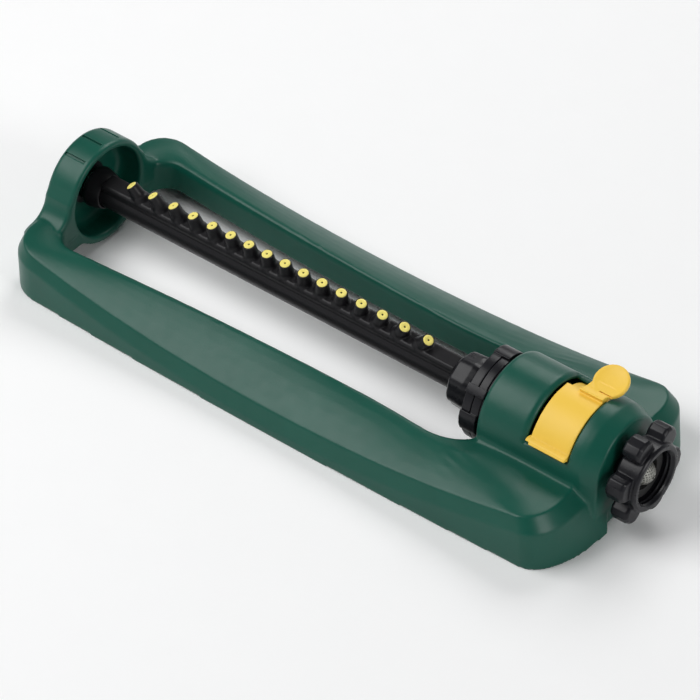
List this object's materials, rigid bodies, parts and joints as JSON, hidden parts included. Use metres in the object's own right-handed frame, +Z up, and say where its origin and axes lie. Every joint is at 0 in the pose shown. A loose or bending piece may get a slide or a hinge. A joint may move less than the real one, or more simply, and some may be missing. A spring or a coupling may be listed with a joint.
{
  "type": "oscillating lawn sprinkler",
  "caption": "Oscillating lawn sprinkler: a spray tube of angled nozzles swings on a moulded two-rail base, driven by a geared water motor fed from a swivel hose nut.",
  "frame": {"origin": "centre of the base's footprint on the ground, under the middle of the whole length", "axes": "+X along the spray tube towards the hose inlet, +Z up, -Y the side that the slider's lip faces"},
  "size_m": [0.35, 0.1264, 0.0647],
  "materials": {
    "frame_plastic": "glossy finely textured dark green moulding",
    "black_plastic": "satin black moulding",
    "tube_plastic": "satin black moulding, slightly glossy",
    "tip_plastic": "pale yellow soft plastic",
    "slider_plastic": "satin warm yellow moulding",
    "white_plastic": "natural acetal, matt",
    "steel": "stainless",
    "filter_mesh": "fine woven stainless mesh",
    "seal_rubber": "matt black"
  },
  "bodies": {
    "base": {"base_frame": "frame_plastic", "bottom_cover": "black_plastic", "cover_screw_1": "steel", "cover_screw_2": "steel", "cover_screw_3": "steel", "cover_screw_4": "steel", "hood_bush": "black_plastic", "thrust_washer": "white_plastic", "motor_case": "black_plastic", "plate_left": "white_plastic", "plate_right": "white_plastic", "jet_plate": "white_plastic", "centre_axle": "steel", "lay_axle": "steel", "inlet_stem": "black_plastic", "stem_seal": "seal_rubber", "hose_washer": "seal_rubber", "filter_screen": "filter_mesh"},
    "spray_bar": {"spray_tube": "tube_plastic", "nozzle_tip_01": "tip_plastic", "nozzle_tip_02": "tip_plastic", "nozzle_tip_03": "tip_plastic", "nozzle_tip_04": "tip_plastic", "nozzle_tip_05": "tip_plastic", "nozzle_tip_06": "tip_plastic", "nozzle_tip_07": "tip_plastic", "nozzle_tip_08": "tip_plastic", "nozzle_tip_09": "tip_plastic", "nozzle_tip_10": "tip_plastic", "nozzle_tip_11": "tip_plastic", "nozzle_tip_12": "tip_plastic", "nozzle_tip_13": "tip_plastic", "nozzle_tip_14": "tip_plastic", "nozzle_tip_15": "tip_plastic", "nozzle_tip_16": "tip_plastic", "tube_end_cap": "tube_plastic", "tube_collar": "black_plastic", "drive_hub": "black_plastic", "drive_spider": "white_plastic", "output_gear": "white_plastic"},
    "ring_a": {"range_ring_a": "black_plastic"},
    "ring_b": {"range_ring_b": "black_plastic"},
    "lever": {"trip_lever": "black_plastic", "diverter": "white_plastic"},
    "slider": {"flow_slider": "slider_plastic"},
    "nut": {"hose_nut": "black_plastic"},
    "slow_gear": {"lay_gear_slow": "white_plastic"},
    "middle_gear": {"centre_gear": "white_plastic"},
    "fast_gear": {"lay_gear_fast": "white_plastic"},
    "turbine": {"turbine": "white_plastic"}
  },
  "joints": [
    {"name": "tube_sweep", "type": "hinge", "parent": "base", "child": "spray_bar", "pos_m": [0, 0, 0.03], "axis": [1, 0, 0], "range_deg": [-17, 41]},
    {"name": "ring_a_turn", "type": "hinge", "parent": "spray_bar", "child": "ring_a", "pos_m": [0, 0, 0.03], "axis": [1, 0, 0], "range_deg": [-35, 0]},
    {"name": "ring_b_turn", "type": "hinge", "parent": "spray_bar", "child": "ring_b", "pos_m": [0, 0, 0.03], "axis": [1, 0, 0], "range_deg": [0, 35]},
    {"name": "lever_trip", "type": "hinge", "parent": "base", "child": "lever", "pos_m": [0, 0, 0.03], "axis": [1, 0, 0], "range_deg": [-5, 5]},
    {"name": "flow_slide", "type": "hinge", "parent": "base", "child": "slider", "pos_m": [0, 0, 0.03], "axis": [1, 0, 0], "range_deg": [-25, 0]},
    {"name": "nut_spin", "type": "hinge", "parent": "base", "child": "nut", "pos_m": [0.168, 0, 0.03], "axis": [1, 0, 0], "continuous": true},
    {"name": "slow_gear_spin", "type": "hinge", "parent": "base", "child": "slow_gear", "pos_m": [0, 0, 0.04044], "axis": [1, 0, 0], "range_deg": [-124, 52]},
    {"name": "middle_gear_spin", "type": "hinge", "parent": "base", "child": "middle_gear", "pos_m": [0, 0, 0.03], "axis": [1, 0, 0], "range_deg": [-155, 371]},
    {"name": "fast_gear_spin", "type": "hinge", "parent": "base", "child": "fast_gear", "pos_m": [0, 0, 0.04044], "axis": [1, 0, 0], "range_deg": [-1110, 462]},
    {"name": "turbine_spin", "type": "hinge", "parent": "base", "child": "turbine", "pos_m": [0, 0, 0.03], "axis": [1, 0, 0], "range_deg": [-1380, 3326]}
  ],
  "couplings": [
    {"joint": "slow_gear_spin", "follows": "tube_sweep", "ratio": -3},
    {"joint": "middle_gear_spin", "follows": "tube_sweep", "ratio": 9},
    {"joint": "fast_gear_spin", "follows": "tube_sweep", "ratio": -27},
    {"joint": "turbine_spin", "follows": "tube_sweep", "ratio": 81}
  ]
}
